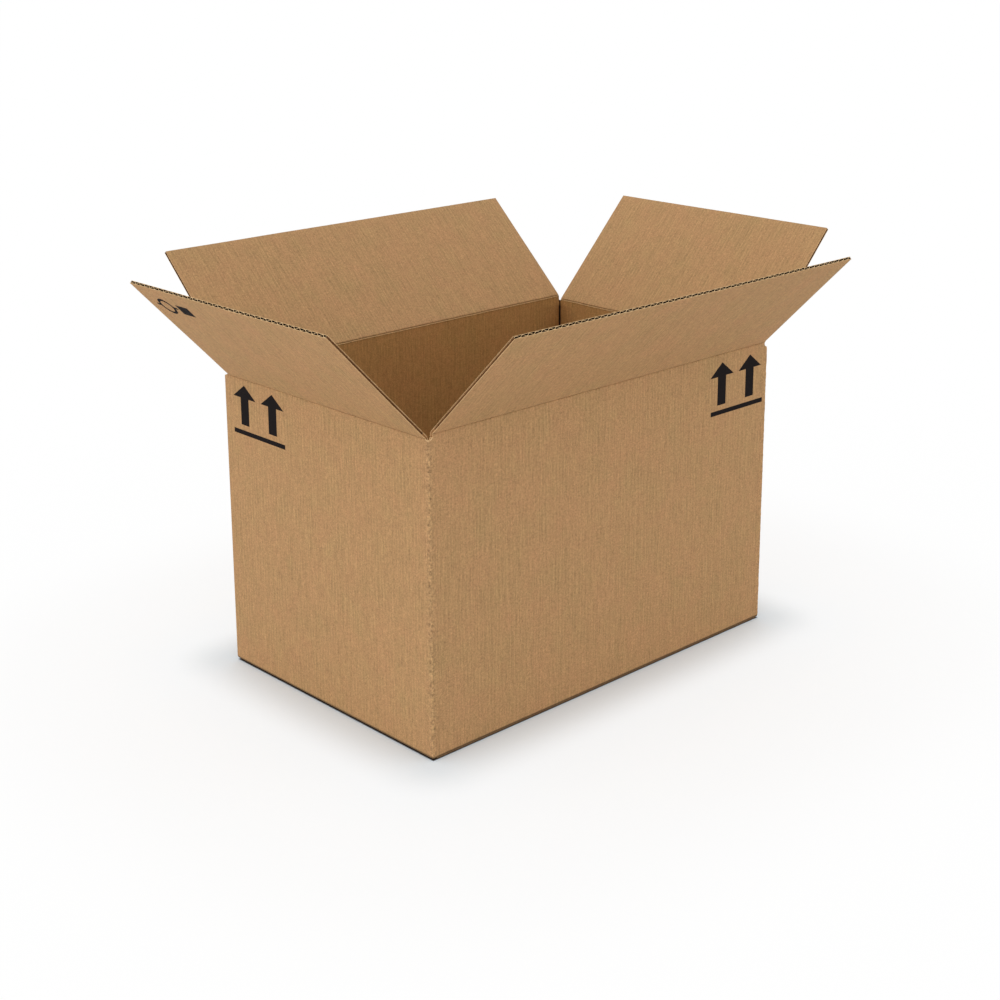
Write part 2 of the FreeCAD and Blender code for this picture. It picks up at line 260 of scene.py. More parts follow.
def feed_paper(graph, shader, colour, roughness, gloss, height):
    """Give a paper's shader its colour and shine, and a bump from a height in metres."""
    graph.feed(shader.inputs["Base Color"], colour)
    graph.feed(shader.inputs["Roughness"], roughness)
    graph.feed(shader.inputs["Specular IOR Level"], gloss)
    bump = graph.get("ShaderNodeBump", 0, None, {"Strength": 1.0, "Distance": 1.0, "Height": height})
    graph.feed(shader.inputs["Normal"], bump)


def make_facing():
    """The outside papers of the board."""
    material, graph, shader, across, along, place = paper_graph("kraft_facing")
    colour, light, fibre = kraft_colour(graph, across, along, place)
    fold, inside, painted_shade = (graph.attribute(name) for name in ("fold_wear_and_highlight", "inside_shade", "painted_shade"))
    # Folds are rubbed pale, which also paints a highlight on them; the bead of an inner crease (value 2) is
    # painted pale as a highlight.
    rubbed_and_highlit = graph.smooth(fold * (graph.noise(place, 330.0, 3.0, 0.7) * 2.6 - 0.4), 0.2, 1.1)
    bead = graph.smooth(fold, 1.0, 2.0)
    worn_and_highlit = graph.mix(rubbed_and_highlit * (bead * 0.5 + 0.25), colour, KRAFT_PALE)
    # Painted shade: the inside of the box is painted darker and warmer.
    inside_shaded = graph.mix(inside, (1, 1, 1, 1), INSIDE_SHADE_TINT)
    toned = graph.get("ShaderNodeVectorMath", 0, {"operation": "MULTIPLY"}, {0: worn_and_highlit, 1: inside_shaded})
    lumps = graph.noise(place, 360.0, 2.0, 0.5)
    upright_fold = fold * (1.0 - bead)
    # Painted light and shade: on the upright folds the lumps' noise lightens and darkens the colour as well
    # as bumping it, and the painted shade attribute darkens it by up to 0.92.
    shade = (light + (lumps - 0.5) * upright_fold * 2.0) * (1.0 - painted_shade * 0.92)
    wave = graph.math("COSINE", across * (2 * math.pi / PITCH))
    sag = graph.noise(graph.point(across, along * 0.12, 0.5), 150.0, 2.0, 0.5)
    height = (wave * 0.02 + sag * 0.14 + fibre * 0.06 + lumps * upright_fold * 2.4) * MM
    feed_paper(graph, shader, graph.scaled(toned, shade), 0.72 + fibre * 0.2, 0.25, height)
    return material


kraft_facing = make_facing()
print("made", kraft_facing.name)

# %% [markdown]
# ## The wavy sheet and the cut edges
# The medium is a coarser paper. It is drawn deep brown, because it lies in the shade of its
# own flutes, and middle brown where it is crushed. A knife leaves every cut edge pale and a
# little furry, because it bares the inside of the paper, and that pale line round dark flute
# mouths is what makes a box read as corrugated board.


# %% Medium and cut edge papers
def make_plain_paper(name, pale, deep, roughness):
    """A paper of two tones that changes over a few fibres' width."""
    material, graph, shader, _, _, place = paper_graph(name)
    grain = graph.noise(place, 900.0, 4.0, 0.7)
    cloud = graph.noise(place, 160.0, 3.0, 0.6)
    colour = graph.mix(graph.smooth(grain * 0.6 + cloud * 0.4, 0.35, 0.65), deep, pale)
    feed_paper(graph, shader, colour, roughness + grain * 0.1, 0.2, grain * 0.05 * MM)
    return material


flute_paper = make_plain_paper("flute_paper", linear(64, 34, 12), linear(44, 22, 6), 0.85)
crushed_paper = make_plain_paper("crushed_paper", linear(172, 126, 82), linear(132, 92, 54), 0.88)
cut_paper = make_plain_paper("cut_paper", linear(242, 208, 160), linear(216, 178, 128), 0.88)
print("made", flute_paper.name, crushed_paper.name, cut_paper.name)

# %% [markdown]
# ## A mesh with the board's coordinates
# Every piece gets a UV map named board: across the flutes, and along them. Folded pieces
# share it, so it is worked out from where each corner lay on the flat sheet.


# %% From a bmesh to a finished piece
def finish_piece(name, shape, materials, smooth_below=40):
    """Turn a bmesh into an object, with its normals outward and its flat faces kept flat."""
    bmesh.ops.remove_doubles(shape, verts=shape.verts, dist=0.001 * MM)
    bmesh.ops.recalc_face_normals(shape, faces=shape.faces)
    mesh = bpy.data.meshes.new(name)
    shape.to_mesh(mesh)
    shape.free()
    for material in materials:
        mesh.materials.append(material)
    mesh.shade_smooth()
    mesh.set_sharp_from_angle(angle=math.radians(smooth_below))
    piece = bpy.data.objects.new(name, mesh)
    bpy.context.scene.collection.objects.link(piece)
    print(name, len(mesh.polygons), "faces")
    return piece


def lay_board_map(mesh, where):
    """Fill the UV map named board from each corner's place."""
    layer = mesh.uv_layers.get("board") or mesh.uv_layers.new(name="board")
    for loop in mesh.loops:
        layer.data[loop.index].uv = where(mesh.vertices[loop.vertex_index].co)


# %% [markdown]
# ## The fluted board, with Geometry Nodes
# The board follows a rule, so a node tree makes it: three thin sheets, two flat and one that
# waves as a cosine with the flute pitch. Each sheet is a grid, moved into place, thickened
# along its own normal and closed with its flipped back. The free edge is a little ragged, as
# a die leaves it. The same tree makes the top flaps and the bottom flaps.


# %% A tree for fluted board
def add_input(tree, name, kind, value=None):
    socket = tree.interface.new_socket(name=name, in_out="INPUT", socket_type=kind)
    if value is not None:
        socket.default_value = value


def thin_sheet(graph, columns, rows, sizes, depth, thickness, centred):
    """A sheet in the plane of the flap: a grid, placed, thickened and closed."""
    width, root, reach, ragged, seed = sizes
    span = reach - root
    grid = graph.get("GeometryNodeMeshGrid", "Mesh", None,
                     {"Size X": width, "Size Y": span, "Vertices X": columns, "Vertices Y": rows})
    x, y, _ = graph.split(graph.get("GeometryNodeInputPosition"))
    share = graph.math("POWER", graph.math("SUBTRACT", 0.5, y / span, clamp=True), 1.7)
    at_end = share < 0.0001
    fray = graph.get("ShaderNodeTexNoise", "Fac", {"noise_dimensions": "4D"},
                     {"Vector": graph.point(x, 0.0, 0.0), "W": seed, "Scale": 420.0, "Detail": 3.0})
    up = reach - span * share - at_end * abs(fray - 0.5) * ragged
    placed = graph.get("GeometryNodeSetPosition", 0, None,
                       {"Geometry": grid, "Position": graph.point(x, depth(x), up)})
    if centred:
        normal = graph.get("GeometryNodeInputNormal")
        placed = graph.get("GeometryNodeSetPosition", 0, None,
                           {"Geometry": placed, "Offset": graph.scaled(normal, thickness * -0.5)})
    raised = graph.get("GeometryNodeExtrudeMesh", "Mesh", {"mode": "FACES"},
                       {"Mesh": placed, "Offset Scale": thickness, "Individual": False})
    back = graph.get("GeometryNodeFlipFaces", 0, None, {0: placed})
    closed = graph.join((raised, back))
    return graph.get("GeometryNodeMergeByDistance", 0, None, {"Geometry": closed, "Distance": 0.002 * MM})


def make_board_tree():
    """Two facings and the medium between them, with their papers."""
    tree = bpy.data.node_groups.new("fluted_board", "GeometryNodeTree")
    numbers = {"Width": LONG_FLAP, "Root": FLAP_ROOT, "Reach": FLAPS["front"]["reach"], "Ragged": RAGGED,
               "Outer face": OUTER_FACE, "Board": BOARD, "Facing": FACING, "Medium": MEDIUM, "Pitch": PITCH,
               "Seed": 1.0}
    for name, value in numbers.items():
        add_input(tree, name, "NodeSocketFloat", value)
    for name in ("Facing paper", "Flute paper", "Cut paper"):
        add_input(tree, name, "NodeSocketMaterial")
    tree.interface.new_socket(name="Board mesh", in_out="OUTPUT", socket_type="NodeSocketGeometry")
    graph = Graph(tree)
    entry = graph.node("NodeGroupInput")
    given = {socket.name: Value(graph, socket) for socket in entry.outputs if socket.name}
    outer, board, facing, medium = (given[n] for n in ("Outer face", "Board", "Facing", "Medium"))
    sizes = [given[n] for n in ("Width", "Root", "Reach", "Ragged", "Seed")]
    facing_columns = given["Width"] / (2 * MM)
    wave_columns = given["Width"] / given["Pitch"] * 12.0
    middle = outer + board * 0.5
    swing = board * 0.5 - facing - medium * 0.5
    turns = 2 * math.pi / given["Pitch"]

    def wave(x):
        return middle + graph.math("COSINE", x * turns) * swing

    outside = thin_sheet(graph, facing_columns, 16, sizes, lambda x: outer + facing, facing, False)
    inside = thin_sheet(graph, facing_columns, 16, sizes, lambda x: outer + board, facing, False)
    waved = thin_sheet(graph, wave_columns, 8, sizes, wave, medium, True)
    flagged = graph.get("GeometryNodeStoreNamedAttribute", 0, {"data_type": "BOOLEAN", "domain": "FACE"},
                        {"Geometry": waved, "Name": "is_flute", "Value": True})
    sheets = graph.join((outside, inside, flagged))
    board_mesh = graph.get("GeometryNodeRealizeInstances", 0, None, {0: sheets})
    across, _, upward = graph.split(graph.get("GeometryNodeInputNormal"))
    cut = graph.math("MAXIMUM", abs(across) > 0.85, abs(upward) > 0.7)
    flute = graph.get("GeometryNodeInputNamedAttribute", "Attribute", {"data_type": "BOOLEAN"},
                      {"Name": "is_flute"})
    # Painted shade: the facings' inner sides, between the two facings, take the deep brown flute paper too.
    _, through, _ = graph.split(graph.get("GeometryNodeInputPosition"))
    between = abs(through - middle) < board * 0.5 - facing * 0.75
    inner = graph.math("MAXIMUM", flute, between)
    for paper, where in (("Facing paper", True), ("Flute paper", inner), ("Cut paper", cut)):
        board_mesh = graph.get("GeometryNodeSetMaterial", 0, None,
                               {"Geometry": board_mesh, "Selection": where, "Material": given[paper]})
    graph.node("NodeGroupOutput", None, {0: board_mesh})
    return tree


board_tree = make_board_tree()
print("tree", board_tree.name, len(board_tree.nodes), "nodes")

# %% [markdown]
# A modifier's inputs are set by their identifiers, the result is turned into a plain mesh,
# and the modifier goes before the piece is placed.


# %% Make one sheet of board
def fluted_board(name, width, root, reach, seed, ragged=RAGGED):
    """One sheet of board in its own frame: X across the flutes, Z along them, -Y the outer face."""
    carrier = bpy.data.objects.new(name + "_carrier", bpy.data.meshes.new(name + "_carrier"))
    bpy.context.scene.collection.objects.link(carrier)
    modifier = carrier.modifiers.new("board", "NODES")
    modifier.node_group = board_tree
    wanted = {"Width": width, "Root": root, "Reach": reach, "Seed": float(seed), "Ragged": ragged,
              "Facing paper": kraft_facing, "Flute paper": flute_paper, "Cut paper": cut_paper}
    for item in board_tree.interface.items_tree:
        if item.in_out == "INPUT" and item.name in wanted:
            modifier[item.identifier] = wanted[item.name]
    graph = bpy.context.evaluated_depsgraph_get()
    mesh = bpy.data.meshes.new_from_object(carrier.evaluated_get(graph), depsgraph=graph)
    carrier.modifiers.clear()
    bpy.data.objects.remove(carrier)
    mesh.name = name
    while None in list(mesh.materials):
        mesh.materials.pop(index=list(mesh.materials).index(None))
    piece = bpy.data.objects.new(name, mesh)
    bpy.context.scene.collection.objects.link(piece)
    print(name, len(mesh.polygons), "faces", [m.name for m in mesh.materials])
    return piece


# %% [markdown]
# ## The top flaps
# The rubber round a die's knives presses the board as it cuts, so a flap is thinner along its
# cut edges, and there the crushed medium fills the gap between the facings. Each flap
# stands about 45 degrees out from upright. A real one is never quite flat, so it gets a slow
# warp of a third of a millimetre, which fades to nothing at its crease.


# %% Crushed edges and warp
CRUSHED_SHARE, CRUSHED_WIDTH = 0.27, 7 * MM
WARP, WARP_START = 0.35 * MM, 60 * MM


def kept(share):
    """A share kept between 0 and 1."""
    return min(1.0, max(0.0, share))


def crushed(y, x, z, flap):
    """The depth of a point of the board once its nearest cut edge is crushed."""
    from_edge = min(flap["width"] / 2 - abs(x), flap["reach"] - z)
    near = 1 - kept(from_edge / CRUSHED_WIDTH)
    fade = kept((z + 5 * MM) / (5 * MM))
    middle = OUTER_FACE + BOARD / 2
    return middle + (y - middle) * (1 - CRUSHED_SHARE * near * near * fade)


def warp(x, z, seed):
    """How far the board has moved from flat, in the flap's own frame."""
    fade = kept((z - FLAP_ROOT) / WARP_START)
    return WARP * fade * noise.noise(Vector((x * 11, z * 11, seed * 7.3)))


def add_crushed_medium(mesh, flap):
    """A strip just inside each side edge, from facing to facing."""
    shape = bmesh.new()
    shape.from_mesh(mesh)
    mesh.materials.append(crushed_paper)
    paper = len(mesh.materials) - 1
    outside, inside = OUTER_FACE + 0.6 * FACING, OUTER_FACE + BOARD - 0.6 * FACING
    steps = 28
    for sign in (-1, 1):
        pairs = []
        for step in range(steps + 1):
            z = FLAP_ROOT - 0.6 * MM + (flap["reach"] + 0.1 * MM - FLAP_ROOT) * step / steps
            x = sign * (flap["width"] / 2 - 0.35 * MM - 0.2 * MM * noise.noise(Vector((z * 90, sign, 4.0))))
            pairs.append((shape.verts.new((x, outside, z)), shape.verts.new((x, inside, z))))
        for first, second in zip(pairs, pairs[1:]):
            row = (first[0], first[1], second[1], second[0])
            shape.faces.new(row if sign > 0 else row[::-1]).material_index = paper
    shape.to_mesh(mesh)
    shape.free()


# %% Four flaps
def place_on_flap(mesh, side, seed):
    """Lay the board map, crush and warp the mesh, and take it to the box's frame."""
    flap = FLAPS[side]
    lay_board_map(mesh, lambda co: (flap["start"] + co.x, flap["hinge"].z + co.z))
    for vertex in mesh.vertices:
        x, y, z = vertex.co
        vertex.co.y = crushed(y, x, z, flap) + warp(x, z, seed)
    mesh.transform(flap["leaned"])
    mesh.update()


for seed, (side, flap) in enumerate(FLAPS.items(), start=1):
    board = fluted_board(side + "_flap_board", flap["width"], FLAP_ROOT, flap["reach"], seed)
    add_crushed_medium(board.data, flap)
    place_on_flap(board.data, side, seed)
    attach(board, side + "_flap")
    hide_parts(side + "_flap")

# %% [markdown]
# ## The creases
# A crease is a line along which a wheel has crushed the flutes flat, so the board turns there
# and nowhere else. Here each crease is its own strip of board: full at the wall and at the
# flap, and half as thick along the hinge. A little noise along it stands for the way real
# board gives.

# %% The crease's section
OUTSIDE = [(1.2, 6.2), (1.2, 4.6), (1.2, 3.2), (1.19, 2.1), (1.13, 1.4), (0.97, 0.92), (0.78, 0.62)]
GROOVE = 0.35
INSIDE_BEAD = [(-2.55, 0.7), (-2.86, 0.5), (-3.0, 0.05), (-2.9, -0.45),
               (-2.8, -1.2), (-2.8, -3.0), (-2.8, -4.8)]
INSIDE_FLAP = [(-2.8, 4.6), (-2.8, 3.0), (-2.8, 1.6), (-2.8, 0.6), (-2.7, 0.1), (-2.4, -0.2)]
INSIDE_GROOVE = -1.6
END_RIM, END_SINK = 0.4, 0.35 * MM


def crease_section(flap, bottom, x, seed, inset=0.0):
    """The closed outline of a crease at one place along it: outward and up, in the upright frame."""
    lean = flap["lean"]
    out = Vector((math.cos(lean), -math.sin(lean)))
    along = Vector((math.sin(lean), math.cos(lean)))
    bisector = Vector((math.cos(lean / 2), -math.sin(lean / 2)))
    sway = 0.3 * noise.noise(Vector((x * 45, seed * 3.1, 0.2)))
    dent = 0.16 * noise.noise(Vector((x * 170, seed * 5.7, 0.9)))
    pucker = 0.05 * math.cos(2 * math.pi * x / PITCH)

    def squeezed(u, z):
        return -crushed(-u * MM, x, z * MM, flap) / MM

    def give(z):
        return (dent + pucker) * max(0.0, 1 - abs(z) / 5)

    def on_wall(u, z):
        return Vector((squeezed(u, z) - math.copysign(give(z) + inset, u), z + sway * (abs(z) < 6)))

    def on_flap(u, z):
        return out * (squeezed(u, z) - math.copysign(give(z) + inset, u)) + along * (z + sway * (abs(z) < 5))

    root = FLAP_ROOT / MM
    section = [Vector((1.2 - inset, bottom))]
    section += [on_wall(u, -z) for u, z in OUTSIDE]
    section += [bisector * (GROOVE + dent - inset) + Vector((0, sway))]
    section += [on_flap(u, z) for u, z in reversed(OUTSIDE[1:])]
    section += [out * (squeezed(1.2, root) - inset) + along * root]
    section += [out * (squeezed(-2.8, root) + inset) + along * root]
    section += [on_flap(*p) for p in INSIDE_FLAP]
    section += [bisector * (INSIDE_GROOVE + dent + inset) + Vector((0, sway))]
    section += [on_wall(*p) for p in INSIDE_BEAD]
    section += [Vector((inset - 2.8, bottom))]
    return [p * MM for p in section]


# %% Four creases
def close_end(shape, ring, section):
    """Close a strip's end as a cut edge: pale facings round a sunk, crushed medium."""
    x = ring[0].co.x
    sunk = x - math.copysign(END_SINK, x)
    rim = [shape.verts.new((x, -p.x, p.y)) for p in section]
    core = [shape.verts.new((sunk, -p.x, p.y)) for p in section]
    for outer, inner in ((ring, rim), (rim, core)):
        for i in range(len(ring)):
            shape.faces.new((outer[i - 1], outer[i], inner[i], inner[i - 1])).material_index = 1
    shape.faces.new(core).material_index = 2


def new_layers(shape):
    """The board map, and what the facing paper reads: fold wear with a painted highlight, painted inside
    shade, and painted shade.
    """
    board_map = shape.loops.layers.uv.new("board")
    return [board_map] + [shape.verts.layers.float.new(name) for name in ("fold_wear_and_highlight", "inside_shade", "painted_shade")]


def make_crease(side, seed):
    """A strip of crushed board along one crease."""
    flap = FLAPS[side]
    shape = bmesh.new()
    layer, wear_and_highlight, inner, painted_shade = new_layers(shape)
    bottom = (RING_TOP - flap["hinge"].z) / MM
    steps = round(flap["width"] / (2.4 * MM))
    rings = []
    for step in range(steps + 1):
        x = flap["width"] * (step / steps - 0.5)
        section = crease_section(flap, bottom, x, seed)
        rings.append([shape.verts.new((x, -p.x, p.y)) for p in section])
    count = len(rings[0])
    heights = [rings[0][i].co.z for i in range(count)]
    bead = count - 1 - len(INSIDE_BEAD)
    for ring in rings:
        # Painted shade: the outer crease's groove is darkened, and the inner groove a little.
        ring[len(OUTSIDE) + 1][painted_shade] = 0.7
        ring[bead - 1][painted_shade] = 0.25
        # Painted highlight: the inner crease's bead is painted pale, and warmed with half the painted inside
        # shade.
        for i in (bead, bead + 1, bead + 2):
            ring[i][wear_and_highlight] = 2.0
            ring[i][inner] = 0.5
        # Painted shade: the wall's inner side below the bead takes the inside shade.
        for i in range(bead + 3, count):
            ring[i][inner] = 1.0
    for first, second in zip(rings, rings[1:]):
        for i in range(count):
            j = (i + 1) % count
            face = shape.faces.new((first[i], second[i], second[j], first[j]))
            for loop, height in zip(face.loops, (heights[i], heights[i], heights[j], heights[j])):
                loop[layer].uv = (flap["start"] + loop.vert.co.x, flap["hinge"].z + height)
    for ring in (rings[0], rings[-1]):
        close_end(shape, ring, crease_section(flap, bottom, ring[0].co.x, seed, inset=END_RIM))
    strip = finish_piece(side + "_crease", shape, [kraft_facing, cut_paper, crushed_paper], 50)
    strip.data.transform(flap["upright"])
    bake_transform(strip)
    return strip


for seed, side in enumerate(FLAPS, start=1):
    make_crease(side, seed)

# %% [markdown]
# ## The walls
# The four walls are one strip, folded at three corners and glued at the fourth, at the back
# left, where the left wall's cut edge stays bare. The folds are rounded, and the paper over
# them is stretched, rubbed pale and slightly lumpy. The pale is also a painted highlight, and
# the lumps are painted lighter and darker as well as bumped. The inside of the walls and the
# tucked inner corners are painted darker, as shade, and so is the lower edge. The walls are
# made as a ring of upright stations with a row of points every few millimetres, so that the
# folds can be lumpy.


# %% Outlines of the ring
def arc(centre, radius, start, end, steps):
    """Points on an arc, in degrees, counter-clockwise."""
    turns = [math.radians(start + (end - start) * i / steps) for i in range(steps + 1)]
    return [(centre[0] + radius * math.cos(t), centre[1] + radius * math.sin(t)) for t in turns]


def divided(points, longest):
    """A closed outline with its long sides cut into shorter ones."""
    made = []
    for (ax, ay), (bx, by) in zip(points, points[1:] + points[:1]):
        count = max(1, math.ceil(math.hypot(bx - ax, by - ay) / longest))
        made += [(ax + (bx - ax) * i / count, ay + (by - ay) * i / count) for i in range(count)]
    return made


def outer_outline():
    """Round the outside, from the bare edge at the back left, by the front."""
    x, y, r = HALF_LENGTH, HALF_WIDTH, FOLD_RADIUS
    near = 9 * MM
    points = [(-x, y), (-x, y - near), (-x, near - y)]
    points += arc((r - x, r - y), r, 180, 270, 8) + [(near - x, -y), (x - near, -y)]
    points += arc((x - r, r - y), r, 270, 360, 8) + [(x, near - y), (x, y - near)]
    points += arc((x - r, y - r), r, 0, 90, 8) + [(x - near, y), (near - x, y)]
    bare = BOARD - x
    points += [(bare + r, y), (bare + 0.1 * MM, y - r), (bare, y - r), (bare, y)]
    points += [(bare - FACING, y), (bare - FACING, y - 2 * MM), (FACING - x, y - 2 * MM), (FACING - x, y)]
    return points


def inner_corner(x, y, sx, sy):
    """A folded corner seen from inside: the facing is tucked into a narrow groove."""
    points = [(x, y - 2.1 * MM), (x + 1.3 * MM, y + 0.4 * MM), (x + 1.8 * MM, y + 1.8 * MM),
              (x + 0.4 * MM, y + 1.3 * MM), (x - 2.1 * MM, y)]
    placed = [(sx * px, sy * py) for px, py in points]
    return placed if sx == sy else placed[::-1]


def inner_outline():
    x, y = HALF_LENGTH - BOARD, HALF_WIDTH - BOARD
    return inner_corner(x, y, -1, -1) + inner_corner(x, y, 1, -1) + inner_corner(x, y, 1, 1) + [(-x, y)]


print("outer", len(outer_outline()), "inner", len(inner_outline()))


# %% Lumps of the folds
FOLD_REACH = 4.5 * MM


def fold_nearness(x, y):
    """1 on an upright fold and 0 a few millimetres from it."""
    away = math.hypot(abs(x) - HALF_LENGTH + 0.7 * MM, abs(y) - HALF_WIDTH + 0.7 * MM)
    glued = x < 0 < y
    return 0.0 if glued else max(0.0, 1 - away / FOLD_REACH)


def lumpy(x, y, z):
    """Move a point near a fold in or out, as crushed flutes do."""
    near = fold_nearness(x, y)
    if near == 0:
        return x, y
    slow = noise.noise(Vector((x * 6, y * 6, z * 150)))
    quick = noise.noise(Vector((x * 9, y * 9, z * 380)))
    push = min(0.05, 0.5 * (slow * 0.3 + quick * 0.35) - 0.1) * MM * near ** 0.5
    return x + math.copysign(push, x), y + math.copysign(push, y)


# %% Build the ring of walls
FOOT = 2 * MM
TURNED_IN, TURNED_DOWN = 1.4 * MM, 1.1 * MM


def board_across(outline):
    """How far each point of an outline lies across the flat sheet, from the middle of the front."""
    run = [0.0]
    for (ax, ay), (bx, by) in zip(outline, outline[1:]):
        run.append(run[-1] + math.hypot(bx - ax, by - ay))
    away = [math.hypot(x + HALF_LENGTH, y + HALF_WIDTH) for x, y in outline]
    return [r - run[away.index(min(away))] - HALF_LENGTH for r in run]


def painted_shade_at(x, y, z, outside):
    """Painted shade along the lower edge, where the box meets the floor, and in the tucked inner corners."""
    if outside:
        return max(0.0, 1 - (z - END_LIFT) / FOOT) ** 0.6
    x, y = HALF_LENGTH - abs(x), HALF_WIDTH - abs(y)
    return float(1.5 * MM < x < BOARD - 0.2 * MM and 1.5 * MM < y < BOARD - 0.2 * MM)


def add_skin(shape, layers, outline, heights, move, outside):
    """One side of the ring as quads, with its board map. Gives its lowest and highest points."""
    layer, wear_and_highlight, inner, painted_shade = layers
    across = board_across(outline)
    rows = []
    for z in heights:
        row = []
        for x, y in outline:
            vertex = shape.verts.new(move(x, y, z))
            # Painted light and shade: the folds' pale wear with its painted highlight, painted shade on every
            # inner point, and painted shade along the lower edge and in the inner corners.
            vertex[wear_and_highlight] = fold_nearness(x, y) if outside else 0.0
            vertex[inner] = 0.0 if outside else 1.0
            vertex[painted_shade] = painted_shade_at(x, y, z, outside)
            row.append(vertex)
        rows.append(row)
    count = len(outline)
    for low_row, high_row in zip(rows, rows[1:]):
        for i in range(count):
            j = (i + 1) % count
            face = shape.faces.new((low_row[i], low_row[j], high_row[j], high_row[i]))
            far = across[j] if j else across[i] + 1 * MM
            for loop, u in zip(face.loops, (across[i], far, far, across[i])):
                loop[layer].uv = (u, loop.vert.co.z)
    return rows[0], rows[-1]


def outer_move(x, y, z):
    """Lumps on the folds. The lower edge of the short walls and of the folds turns in and down."""
    moved_x, moved_y = lumpy(x, y, z)
    height = (z - END_LIFT) / FOOT
    on_long_wall = abs(x) < HALF_LENGTH - SLOT + 0.5 * MM
    if on_long_wall or height >= 1:
        return moved_x, moved_y, z
    turned_in = TURNED_IN * (1 - math.sqrt(1 - (1 - height) ** 2))
    if abs(x) > HALF_LENGTH - 1 * MM:
        moved_x -= math.copysign(turned_in, x)
    if abs(y) > HALF_WIDTH - 1 * MM:
        moved_y -= math.copysign(turned_in, y)
    return moved_x, moved_y, z - TURNED_DOWN * (1 - height)


def make_walls():
    shape = bmesh.new()
    layers = new_layers(shape)
    heights = [END_LIFT + step * MM for step in (0, 0.3, 0.8, 1.4)]
    heights += list(np.arange(END_LIFT + FOOT, RING_TOP, 2.2 * MM)) + [RING_TOP]
    ends = add_skin(shape, layers, divided(outer_outline(), 40 * MM), heights, outer_move, True)
    inner = divided(inner_outline(), 60 * MM)
    heights = [END_LIFT, 100 * MM, 200 * MM, RING_TOP]
    inner_ends = add_skin(shape, layers, inner, heights, lambda x, y, z: (x, y, z), False)
    for rows in zip(ends, inner_ends):
        edges = [shape.edges.get((row[i - 1], row[i])) for row in rows for i in range(len(row))]
        bmesh.ops.triangle_fill(shape, edges=edges, use_beauty=True)
    return finish_piece("walls", shape, [kraft_facing], 40)


walls = make_walls()
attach(walls, "carton_body")
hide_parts("carton_body")

# %% [markdown]
# ## Corner posts
# Between two flaps the box is slotted. The knife leaves a floor like a shallow U, lowest at
# the fold, which shows the board's cut edge. These short posts carry the corners from the
# ring of walls up to that floor.


# %% Four corner posts
SLOT_FLOOR, SIDE_RISE, END_RISE = 303.9 * MM, 0.8 * MM, 2.6 * MM
CUT_RIM = 0.9 * MM


def corner_outline(glued):
    """The board of one corner, seen from above, in the corner at +X +Y."""
    x, y = HALF_LENGTH, HALF_WIDTH
    in_x, in_y = x - BOARD, y - BOARD
    outside = [(x, y - SLOT), (x, y - 3.6 * MM)]
    if glued:
        gap = y - 2 * MM
        outside += [(x, y), (x - FACING, y), (x - FACING, gap), (in_x + FACING, gap), (in_x + FACING, y),
                    (in_x, y), (in_x, y - 1.5 * MM), (x - SLOT, y - 1.5 * MM)]
        return outside + [(x - SLOT, in_y), (in_x, in_y), (in_x, y - SLOT)]
    outside += arc((x - FOLD_RADIUS, y - FOLD_RADIUS), FOLD_RADIUS, 0, 90, 8)
    outside += [(x - 3.6 * MM, y), (x - SLOT, y), (x - SLOT, in_y)]
    return outside + inner_corner(in_x, in_y, 1, 1)[::-1][1:-1] + [(in_x, y - SLOT)]


def slot_floor(x, y):
    """The height of the slot's floor: a U that rises to each flap's crease."""
    side = min(1.0, (HALF_WIDTH - abs(y)) / SLOT) ** 2
    end = min(1.0, (HALF_LENGTH - abs(x)) / SLOT) ** 2
    return SLOT_FLOOR + (SIDE_RISE * side if side > end else END_RISE * end)


def make_posts():
    shape = bmesh.new()
    layer, wear_and_highlight, _, painted_shade = new_layers(shape)
    for sx in (-1, 1):
        for sy in (-1, 1):
            outline = [(sx * x, sy * y) for x, y in corner_outline(sx < 0 < sy)]
            rows = []
            for share in (0.0, 0.4, 0.8, 0.96, 1.0):
                row = []
                for x, y in outline:
                    inset = 0.15 * MM if share == 1 else 0
                    px, py = lumpy(x, y, RING_TOP + share * SLOT)
                    z = RING_TOP + (slot_floor(x, y) - RING_TOP) * share
                    vertex = shape.verts.new((px - sx * inset, py - sy * inset, z))
                    # Painted highlight on the folds' pale wear, and painted shade in the tucked inner
                    # corners.
                    vertex[wear_and_highlight] = fold_nearness(x, y)
                    vertex[painted_shade] = painted_shade_at(x, y, z, False)
                    row.append(vertex)
                rows.append(row)
            for below, above in zip(rows, rows[1:]):
                for i in range(len(outline)):
                    shape.faces.new((below[i - 1], below[i], above[i], above[i - 1]))
            shape.faces.new(rows[0])
            top = shape.faces.new(rows[-1])
            top.material_index = 1
            top.normal_update()
            bmesh.ops.inset_region(shape, faces=[top], thickness=CUT_RIM)
            top.material_index = 2
    shape.normal_update()
    for face in shape.faces:
        for loop in face.loops:
            co = loop.vert.co
            loop[layer].uv = (co.x if abs(face.normal.x) < 0.7 else co.y - HALF_LENGTH, co.z)
    bmesh.ops.triangulate(shape, faces=[f for f in shape.faces if len(f.verts) > 4])
    return finish_piece("corner_posts", shape, [kraft_facing, cut_paper, crushed_paper], 40)


posts = make_posts()
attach(posts, "carton_body")

# %% [markdown]
# ## The bottom
# The bottom flaps are folded in and glued, the short pair on the long pair. They are the same
# fluted board as the top flaps, so the same tree makes them. A rounded strip takes the long
# walls round the fold to the floor.


# %% Bottom flaps and folds
SHORT_PAIR_GAP, SEAM = 168.4 * MM, 1 * MM


def place_bottom(label, width, reach, seed, axes, origin):
    """A bottom flap, from its own frame to its place in the box."""
    board = fluted_board(label + "_bottom_flap", width, 0.0, reach, seed, ragged=0.3 * MM)
    lay_board_map(board.data, lambda co: (FLAPS[label]["start"] + co.x, -co.z))
    placed = Matrix.Translation(origin) @ Matrix(axes).transposed().to_4x4()
    board.data.transform(placed)
    board.data.update()
    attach(board, "carton_body")


